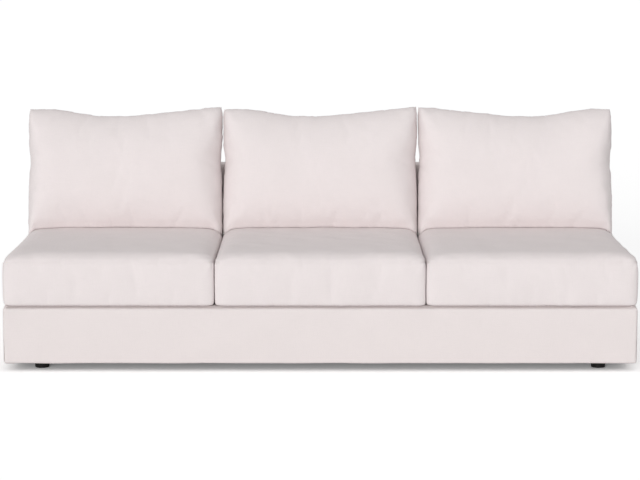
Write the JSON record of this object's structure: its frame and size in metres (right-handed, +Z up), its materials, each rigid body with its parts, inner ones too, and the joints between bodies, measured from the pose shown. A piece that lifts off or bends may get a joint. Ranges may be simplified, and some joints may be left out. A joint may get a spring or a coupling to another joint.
{
  "type": "armless sofa",
  "caption": "Armless sofa with loose box seat cushions and loose knife-edge back cushions on a plain upholstered base with low round feet.",
  "frame": {"origin": "on the floor, under the middle of the sofa's width and depth", "axes": "+X to the right as seen from the front, -Y to the front, +Z up"},
  "size_m": [2.2854, 0.965, 0.8884],
  "materials": {
    "base_fabric": "matte",
    "cushion_fabric": "matte",
    "foam": "matte",
    "fibre_fill": "matte",
    "deck_fabric": "matte",
    "burlap": "matte",
    "dust_cloth": "matte",
    "webbing": "matte",
    "zip_tape": "matte",
    "zip_metal": "satin",
    "timber": "matte",
    "fibreboard": "satin",
    "spring_steel": "satin",
    "screw_steel": "satin",
    "clip_plastic": "matte",
    "foot_plastic": "satin"
  },
  "bodies": {
    "frame": {"back_board": "fibreboard", "back_lower_rail": "timber", "back_pad": "foam", "back_top_rail": "timber", "back_webbing": "webbing", "burlap": "burlap", "centre_feet": "foot_plastic", "deck_cover": "deck_fabric", "deck_pad": "foam", "dust_cover": "dust_cloth", "edge_rolls": "foam", "foot_blocks": "timber", "foot_screws": "screw_steel", "frame_screws": "screw_steel", "front_cover": "base_fabric", "front_left_foot": "foot_plastic", "front_rail": "timber", "front_right_foot": "foot_plastic", "inner_back_posts": "timber", "inside_back_cover": "base_fabric", "left_back_cover": "base_fabric", "left_end_cover": "base_fabric", "left_end_rail": "timber", "outer_back_posts": "timber", "outside_back_cover": "base_fabric", "rear_left_foot": "foot_plastic", "rear_rail": "timber", "rear_right_foot": "foot_plastic", "right_back_cover": "base_fabric", "right_end_cover": "base_fabric", "right_end_rail": "timber", "seat_springs": "spring_steel", "seat_stretchers": "timber", "spring_clips": "clip_plastic", "spring_rail": "timber", "spring_tie_wires": "spring_steel"},
    "left_seat_cushion": {"left_seat_cover": "cushion_fabric", "left_seat_foam": "foam", "left_seat_zip": "zip_tape"},
    "left_seat_slider": {"left_seat_zip_slider": "zip_metal"},
    "left_back_cushion": {"left_back_cushion_cover": "cushion_fabric", "left_back_cushion_fill": "fibre_fill", "left_back_cushion_zip": "zip_tape"},
    "left_back_cushion_slider": {"left_back_cushion_zip_slider": "zip_metal"},
    "middle_seat_cushion": {"middle_seat_cover": "cushion_fabric", "middle_seat_foam": "foam", "middle_seat_zip": "zip_tape"},
    "middle_seat_slider": {"middle_seat_zip_slider": "zip_metal"},
    "middle_back_cushion": {"middle_back_cushion_cover": "cushion_fabric", "middle_back_cushion_fill": "fibre_fill", "middle_back_cushion_zip": "zip_tape"},
    "middle_back_cushion_slider": {"middle_back_cushion_zip_slider": "zip_metal"},
    "right_seat_cushion": {"right_seat_cover": "cushion_fabric", "right_seat_foam": "foam", "right_seat_zip": "zip_tape"},
    "right_seat_slider": {"right_seat_zip_slider": "zip_metal"},
    "right_back_cushion": {"right_back_cushion_cover": "cushion_fabric", "right_back_cushion_fill": "fibre_fill", "right_back_cushion_zip": "zip_tape"},
    "right_back_cushion_slider": {"right_back_cushion_zip_slider": "zip_metal"}
  },
  "joints": [
    {"name": "left_seat_lift", "type": "slide", "parent": "frame", "child": "left_seat_cushion", "axis": [0, 0, 1], "range_m": [0, 0.66]},
    {"name": "left_back_lift", "type": "slide", "parent": "left_seat_cushion", "child": "left_back_cushion", "axis": [0, 0, 1], "range_m": [0, 0.5]},
    {"name": "left_seat_zip_run", "type": "slide", "parent": "left_seat_cushion", "child": "left_seat_slider", "axis": [1, 0, 0], "range_m": [0, 0.575]},
    {"name": "left_back_zip_run", "type": "slide", "parent": "left_back_cushion", "child": "left_back_cushion_slider", "axis": [1, 0, 0], "range_m": [0, 0.435]},
    {"name": "middle_seat_lift", "type": "slide", "parent": "frame", "child": "middle_seat_cushion", "axis": [0, 0, 1], "range_m": [0, 0.66]},
    {"name": "middle_back_lift", "type": "slide", "parent": "middle_seat_cushion", "child": "middle_back_cushion", "axis": [0, 0, 1], "range_m": [0, 0.5]},
    {"name": "middle_seat_zip_run", "type": "slide", "parent": "middle_seat_cushion", "child": "middle_seat_slider", "axis": [1, 0, 0], "range_m": [0, 0.575]},
    {"name": "middle_back_zip_run", "type": "slide", "parent": "middle_back_cushion", "child": "middle_back_cushion_slider", "axis": [1, 0, 0], "range_m": [0, 0.435]},
    {"name": "right_seat_lift", "type": "slide", "parent": "frame", "child": "right_seat_cushion", "axis": [0, 0, 1], "range_m": [0, 0.66]},
    {"name": "right_back_lift", "type": "slide", "parent": "right_seat_cushion", "child": "right_back_cushion", "axis": [0, 0, 1], "range_m": [0, 0.5]},
    {"name": "right_seat_zip_run", "type": "slide", "parent": "right_seat_cushion", "child": "right_seat_slider", "axis": [1, 0, 0], "range_m": [0, 0.575]},
    {"name": "right_back_zip_run", "type": "slide", "parent": "right_back_cushion", "child": "right_back_cushion_slider", "axis": [1, 0, 0], "range_m": [0, 0.435]}
  ]
}
